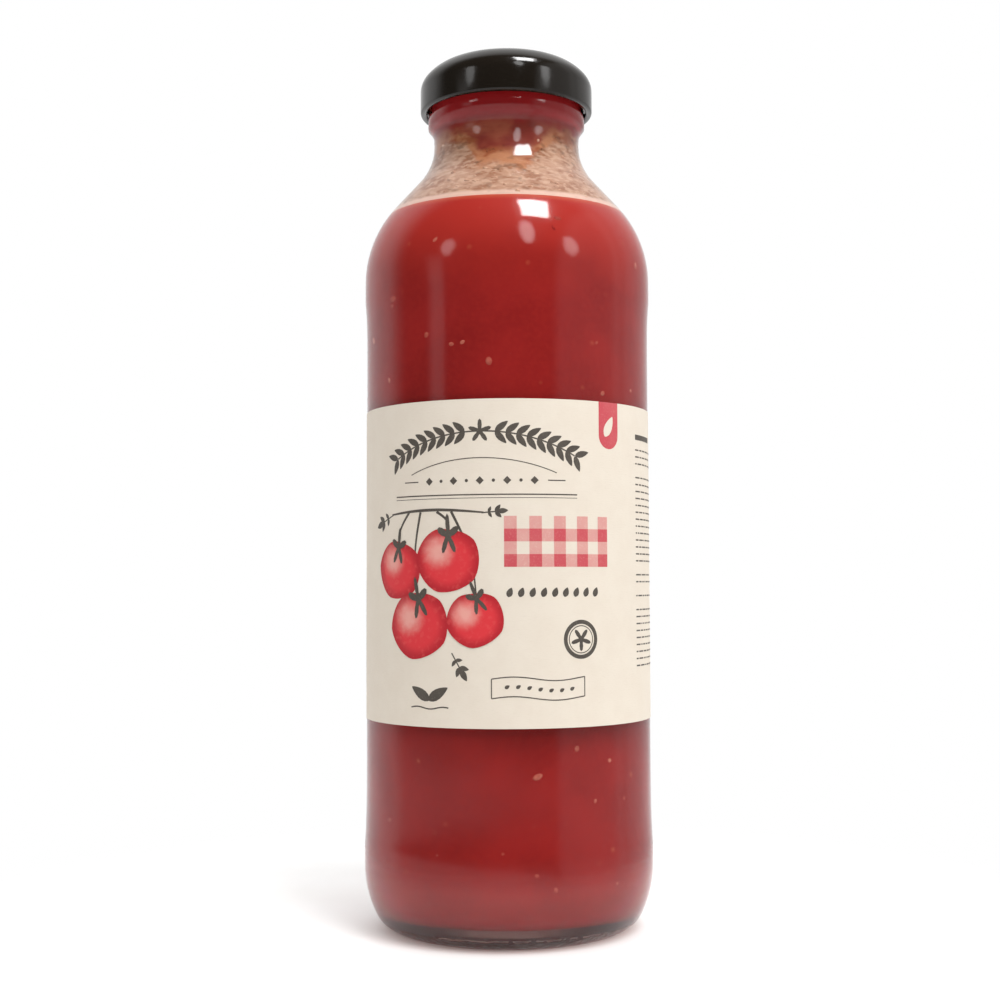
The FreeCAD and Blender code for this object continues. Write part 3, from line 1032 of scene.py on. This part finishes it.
def calyxes_and_vine():
    """The green parts of the truss, in the dark ink, over the red."""
    shapes = []
    for n, ((x, y), size) in enumerate(truss):
        foot = Vector((x + 0.5, y + size * 0.34))
        shapes.append(cut_out(foot, (size * 0.6, size * 0.34), 84 + 9 * n, star_rim, 40, 0.085))
        head = Vector((-15 + (x + 14) * 0.55, 58.0))
        side = Vector((1.6, 0.4)) * (1 if x > -14 else -1)

        def stalk(along, foot=foot, head=head, side=side):
            return foot.lerp(head, along) + side * math.sin(along * math.pi)
        shapes.append(stroke(stalk, lambda along: 0.4 + 0.35 * along, 16))
    shapes.append(stroke(lambda along: (-29 + along * 30, 57.6 + 0.9 * math.sin(along * math.pi)),
                         lambda along: 0.45 + 0.35 * math.sin(along * math.pi), 24))
    for at, turn, size in (((-28.5, 57.5), 200, 6.0), ((0.5, 57.5), 5, 4.6), ((-8.0, 20.0), -60, 5.5)):
        shapes += foliage(at, turn, size)
    return shapes


def checked_cloth():
    """Pale stripes both ways, and the full colour where they cross."""
    pitch, columns, rows, left, low = 3.4, 9, 4, 6.5, 43.0
    stripes = [rule((left, low + (row + 0.5) * pitch), (left + columns * pitch, low + (row + 0.5) * pitch),
                    pitch) for row in range(0, rows, 2)]
    stripes += [rule((left + (n + 0.5) * pitch, low), (left + (n + 0.5) * pitch, low + rows * pitch), pitch,
                     0.008) for n in range(0, columns, 2)]
    squares = [cut_out((left + (n + 0.5) * pitch, low + (row + 0.5) * pitch),
                       (pitch * math.sqrt(2), pitch * math.sqrt(2)), 45, None, 4, 0.016)
               for n in range(0, columns, 2) for row in range(0, rows, 2)]
    return stripes, squares


def hanging_tab():
    """A coral tab that hangs from the label's top edge, round at its foot, and the leaf left bare in it."""
    body = [rule((38, 88.2), (38, 79), 7.4), cut_out((38, 79), (7.4, 7.4), 0, None, 32)]
    return body, [cut_out((38, 81.5), (6.4, 2.8), 62, leaf_rim, 18, 0.012)]


def small_print(left, right, low, high, seed, pitch=1.95):
    """Lines of short dashes, as print too small to read."""
    chance, shapes, height = random.Random(seed), [], high
    while height > low:
        end = right if chance.random() < 0.8 else left + (right - left) * chance.uniform(0.3, 0.8)
        x = left
        while x < end:
            length = min(chance.uniform(0.8, 3.6), end - x)
            shapes.append(rule((x, height), (x + length, height), 0.4))
            x += length + 0.65
        height -= pitch if chance.random() < 0.85 else pitch * 2
    return shapes


def side_panels():
    """Both sides and the back: paragraphs of dashes with a bar over them, a ruled table, and bars."""
    shapes = small_print(51, 78, 12, 76, 3) + small_print(-78, -58, 46, 80, 5)
    shapes += [rule((51, 79.6), (64, 79.6), 1.5), rule((-78, 83.4), (-66, 83.4), 1.3)]
    for row in range(9):
        height = 10 + row * 3.7
        shapes.append(rule((-82, height), (-54, height), 0.22))
        if row < 8:
            shapes += [rule((-80.5, height + 1.9), (-80.5 + 8 + row % 3 * 2.5, height + 1.9), 0.7),
                       rule((-64, height + 1.9), (-60, height + 1.9), 0.7)]
    shapes += [rule((x, 10), (x, 39.6), 0.22) for x in (-82, -66, -54)]
    chance, x = random.Random(8), 92.0
    while x < 114:
        width = chance.choice((0.3, 0.3, 0.6, 0.9))
        shapes.append(rule((x + width / 2, 12), (x + width / 2, 27), width))
        x += width + chance.choice((0.3, 0.6))
    shapes += small_print(92, 114, 34, 76, 9) + small_print(-114, -92, 12, 60, 10)
    return shapes


stripes, squares = checked_cloth()
tab, tab_leaf = hanging_tab()
pale_coral = printed("pale coral ink", (0.72, 0.34, 0.31), (0.80, 0.6, 0.5))
coral = printed("coral ink", (0.60, 0.085, 0.105), (0.72, 0.28, 0.25))
dark = printed("dark ink", (0.085, 0.072, 0.060), (0.22, 0.19, 0.155))
cream = printed("cream ink", (0.82, 0.74, 0.62), (0.80, 0.7, 0.58))
print_ink("ink_pale_coral", stripes, pale_coral, 0.02 * mm)
print_ink("ink_coral", squares + tab, coral, 0.02 * mm)
print_ink("ink_red", tomatoes(), ripe_red(), 0.045 * mm)
dark_shapes = sprig() + small_ornaments() + round_stamp() + calyxes_and_vine() + side_panels()
print_ink("ink_dark", dark_shapes, dark, 0.02 * mm)
print_ink("ink_cream", tab_leaf, cream, 0.03 * mm)
